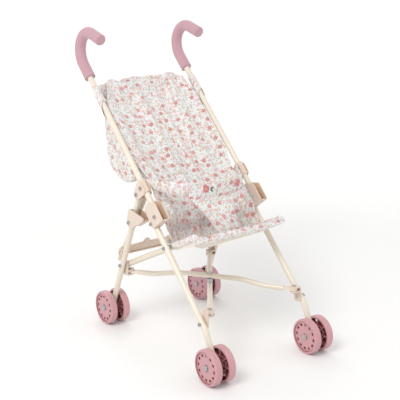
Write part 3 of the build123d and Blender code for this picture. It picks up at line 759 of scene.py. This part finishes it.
class STROLLER_OT_harness(Operator):
    """Builds the waist belt, the T-shaped crotch piece and its two embroidered flowers"""
    bl_idname = "stroller.harness"
    bl_label = "Harness"

    def execute(self, context):
        cloth = printed()
        t = np.linspace(0.0, 1.0, 150)
        spot = belt_at(t)
        tall = BELT_TALL - 3.6 * np.abs(2 * t - 1) ** 4
        height = BELT_Z + 1.5 * np.abs(2 * t - 1) ** 2 - 1.2 * np.sin(pi * t) + 0.8 * np.sin(9 * t)
        path = np.stack([spot[:, 0], spot[:, 1], height], axis=1)
        radii = np.stack([np.full_like(t, BELT_DEEP), tall], axis=1)
        belt = roll("waist_belt_cloth", path, radii, cloth,
                    lambda run, a: 0.05 * sin(run * 0.23 + 2 * a) + 0.03 * sin(run * 0.5), sides=36)
        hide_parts("waist_belt")
        gather(belt, "handle_left")
        strap, area = grid("crotch_piece", 90, 120, tee_point, cloth_uv, cloth, TEE_CLOTH)
        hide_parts("crotch_strap")
        gather(strap, "handle_left")
        flosses = [material_of(name, plain_cloth, colour, 140.0)
                   for name, colour in (("floss_pink", rgba(0.62, 0.20, 0.27)),
                                        ("floss_gold", rgba(0.72, 0.45, 0.12)),
                                        ("floss_green", rgba(0.12, 0.13, 0.10)))]
        for word, middle in (("left", -32.0), ("right", 37.0)):
            embroidery(word, middle, flosses)
        return {"FINISHED"}


class STROLLER_OT_pouch(Operator):
    """Builds the storage pouch behind the back"""
    bl_idname = "stroller.pouch"
    bl_label = "Pouch"

    def execute(self, context):
        outline = [on_handle(s, off) for s, off in POUCH_ON_TUBE] + list(POUCH_BEHIND)
        marks = np.linspace(0, 1, len(outline) + 1)
        closed = np.array(outline + [outline[0]])
        centre = closed[:-1].mean(axis=0)
        across = list(POUCH_END) + [(q, 1.0) for q in np.linspace(-0.9, 0.9, 46)]
        across += [(-q, share) for q, share in reversed(POUCH_END)]
        across = np.array(across)

        def place(u, v):
            """u goes round the outline, v across from the left end's middle to the right one's."""
            ring = smooth_through(marks, closed, np.clip(u, 0, 1))
            index = v * (len(across) - 1)
            q = np.interp(index, np.arange(len(across)), across[:, 0])
            share = np.interp(index, np.arange(len(across)), across[:, 1])
            puff = 3.0 * (1 - share ** 2) + 0.72 * np.sin(u * 31) * share ** 4
            slack = 1.0 + 0.018 * np.sin(q * 9 + u * 6) * share
            share = np.maximum(share, 0.015) * slack
            x = q * POUCH_HALF + np.sign(q) * puff * (np.abs(q) > 0.97)
            yz = centre + (ring - centre) * share[:, None]
            return np.stack([x, yz[:, 0], yz[:, 1]], axis=1)

        def uv(u, v, points):
            """Flat on the two ends, round the outline between them."""
            at_end = np.abs(points[:, 0]) > POUCH_HALF - 2.0
            between = np.stack([points[:, 0] / UV_MM, u * 4.9], axis=1)
            return np.where(at_end[:, None], points[:, 1:3] / UV_MM + 0.3, between)

        pouch, area = grid("pouch_cloth", 90, len(across) - 1, place, uv, printed(), POUCH_CLOTH, closed=True,
                           flip=True)
        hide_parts("storage_pouch")
        gather(pouch, "handle_left")
        return {"FINISHED"}


def stitch_nodes(length, step, look):
    """Node group that lays one small stitch at every step of an edge path."""
    group = bpy.data.node_groups.new("stitches", "GeometryNodeTree")
    face = group.interface
    face.new_socket("Geometry", in_out="INPUT", socket_type="NodeSocketGeometry")
    ids = {}
    for name, value in (("Stitch length", length), ("Stitch step", step)):
        made = face.new_socket(name, in_out="INPUT", socket_type="NodeSocketFloat")
        made.default_value = value
        ids[name] = made.identifier
    face.new_socket("Geometry", in_out="OUTPUT", socket_type="NodeSocketGeometry")
    n, wire = group.nodes, group.links.new
    entry, leave = n.new("NodeGroupInput"), n.new("NodeGroupOutput")
    curve = n.new("GeometryNodeMeshToCurve")
    spaced = n.new("GeometryNodeCurveToPoints")
    spaced.mode = "LENGTH"
    bead = n.new("GeometryNodeMeshUVSphere")
    bead.inputs["Segments"].default_value = 8
    bead.inputs["Rings"].default_value = 6
    bead.inputs["Radius"].default_value = 0.5
    slim = n.new("GeometryNodeTransform")
    sizes = n.new("ShaderNodeCombineXYZ")
    sizes.inputs[0].default_value = THREAD_WIDTH
    sizes.inputs[1].default_value = THREAD_WIDTH
    copies = n.new("GeometryNodeInstanceOnPoints")
    real = n.new("GeometryNodeRealizeInstances")
    paint = n.new("GeometryNodeSetMaterial")
    paint.inputs["Material"].default_value = look
    smooth = n.new("GeometryNodeSetShadeSmooth")
    wire(entry.outputs["Geometry"], curve.inputs["Mesh"])
    wire(curve.outputs["Curve"], spaced.inputs["Curve"])
    wire(entry.outputs["Stitch step"], spaced.inputs["Length"])
    wire(entry.outputs["Stitch length"], sizes.inputs[2])
    wire(bead.outputs["Mesh"], slim.inputs["Geometry"])
    wire(sizes.outputs[0], slim.inputs["Scale"])
    wire(spaced.outputs["Points"], copies.inputs["Points"])
    wire(spaced.outputs["Rotation"], copies.inputs["Rotation"])
    wire(slim.outputs["Geometry"], copies.inputs["Instance"])
    wire(copies.outputs["Instances"], real.inputs["Geometry"])
    wire(real.outputs["Geometry"], smooth.inputs["Geometry"])
    wire(smooth.outputs["Geometry"], paint.inputs["Geometry"])
    wire(paint.outputs["Geometry"], leave.inputs["Geometry"])
    return group, ids


class STROLLER_OT_stitches(Operator):
    """Sews the hems: one row of stitches inside the top hem and two rows across the crotch piece's band"""
    bl_idname = "stroller.stitches"
    bl_label = "Stitches"

    def execute(self, context):
        s = context.scene.stroller_sling
        thread = material_of("thread", plain_cloth, rgba(0.78, 0.76, 0.72), 150.0)
        group, ids = stitch_nodes(s.stitch_length, s.stitch_step, thread)
        u = np.linspace(0.03, 0.97, 200)
        lift = np.array((0.0, -sin(LEAN), cos(LEAN))) * (s.cloth / 2 + 0.15)
        top_hem = sling_point(u, np.full_like(u, HEM_SHARE)) + lift
        xs = np.linspace(-59.0, 48.0, 120)
        band = belt_at(belt_share(xs), TEE_FORWARD)
        band_rows = [np.stack([xs, band[:, 1] - 1.15, np.full_like(xs, z)], axis=1) for z in BAND_STITCHES]
        for name, lines in (("stitches_back", [top_hem]), ("stitches_harness", band_rows)):
            verts = np.concatenate(lines)
            edges, first = [], 0
            for line in lines:
                edges += [(first + i, first + i + 1) for i in range(len(line) - 1)]
                first += len(line)
            mesh = bpy.data.meshes.new(name)
            mesh.from_pydata([tuple(p) for p in to_metres(verts)], edges, [])
            obj = bpy.data.objects.new(name, mesh)
            context.scene.collection.objects.link(obj)
            sewn = obj.modifiers.new("stitches", "NODES")
            sewn.node_group = group
            sewn[ids["Stitch length"]] = s.stitch_length
            sewn[ids["Stitch step"]] = s.stitch_step
            bake(obj)
            if not obj.data.polygons:
                raise RuntimeError(f"{name} has no stitches")
            gather(obj, "handle_left")
        return {"FINISHED"}


class STROLLER_OT_stage(Operator):
    """Sets up the pale floor, the soft lights and the camera"""
    bl_idname = "stroller.stage"
    bl_label = "Stage"

    def execute(self, context):
        s = context.scene.stroller_stage
        scene = context.scene
        scene.view_settings.view_transform = "Standard"
        floor_look = Shader("floor_look")
        place = floor_look.object_place()
        floor_look.wire(floor_look.spread(floor_look.noise(place, 6.0), 0.55, 0.65),
                        floor_look.surface.inputs["Roughness"])
        floor_look.set(Base_Color=rgba(0.90, 0.90, 0.895), Specular_IOR_Level=0.2)
        away = floor_look.math("SUBTRACT", floor_look.vector("LENGTH", place), s.glow_start)
        glow = floor_look.math("MULTIPLY", floor_look.math("DIVIDE", away, s.glow_reach, clamp=True), s.glow)
        floor_look.wire(rgba(1.0, 1.0, 1.0), floor_look.surface.inputs["Emission Color"])
        floor_look.wire(glow, floor_look.surface.inputs["Emission Strength"])
        half = FLOOR_HALF
        floor = new_object("floor", [(-half, -half, 0), (half, -half, 0), (half, half, 0), (-half, half, 0)],
                           [(0, 1, 2, 3)], material=floor_look.material)
        world = bpy.data.worlds.new("studio")
        world.use_nodes = True
        sky = world.node_tree.nodes["Background"]
        sky.inputs["Color"].default_value = rgba(1.0, 0.995, 0.985)
        sky.inputs["Strength"].default_value = s.world
        scene.world = world
        for name, where, share, width in LIGHTS:
            lamp = bpy.data.lights.new(name, "AREA")
            lamp.energy = s.key * share
            lamp.size = width
            light = bpy.data.objects.new(name, lamp)
            light.location = where
            light.rotation_euler = (Vector((0, 0, 0.25)) - Vector(where)).to_track_quat("-Z", "Y").to_euler()
            scene.collection.objects.link(light)
        lens = bpy.data.cameras.new("camera")
        lens.lens = CAMERA_LENS
        lens.sensor_width = 36.0
        camera = bpy.data.objects.new("camera", lens)
        aim = (-Vector(CAMERA_BACK)).to_track_quat("-Z", "Y").to_matrix().to_4x4()
        camera.matrix_world = Matrix.Translation(at(*CAMERA_AT)) @ aim @ Matrix.Rotation(CAMERA_ROLL, 4, "Z")
        scene.collection.objects.link(camera)
        scene.camera = camera
        return {"FINISHED"}


class STROLLER_PT_build(Panel):
    """Steps of the stroller in the 3D view's sidebar"""
    bl_label = "Doll stroller"
    bl_idname = "STROLLER_PT_build"
    bl_space_type = "VIEW_3D"
    bl_region_type = "UI"
    bl_category = "Stroller"

    def draw(self, context):
        for settings in (context.scene.stroller_sling, context.scene.stroller_stage):
            for key in settings.__annotations__:
                self.layout.prop(settings, key)
        for step in STEPS:
            self.layout.operator(step.bl_idname)


STEPS = (STROLLER_OT_finishes, STROLLER_OT_sling, STROLLER_OT_harness, STROLLER_OT_pouch,
         STROLLER_OT_stitches, STROLLER_OT_stage)
CLASSES = (SlingSettings, StageSettings) + STEPS + (STROLLER_PT_build,)


def register():
    for c in CLASSES:
        bpy.utils.register_class(c)
    bpy.types.Scene.stroller_sling = PointerProperty(type=SlingSettings)
    bpy.types.Scene.stroller_stage = PointerProperty(type=StageSettings)


def unregister():
    del bpy.types.Scene.stroller_stage
    del bpy.types.Scene.stroller_sling
    for c in reversed(CLASSES):
        bpy.utils.unregister_class(c)


def main():
    register()
    for step in STEPS:
        group, name = step.bl_idname.split(".")
        if getattr(getattr(bpy.ops, group), name)() != {"FINISHED"}:
            raise RuntimeError(f"{step.bl_idname} did not finish")


if __name__ == "__main__":
    main()
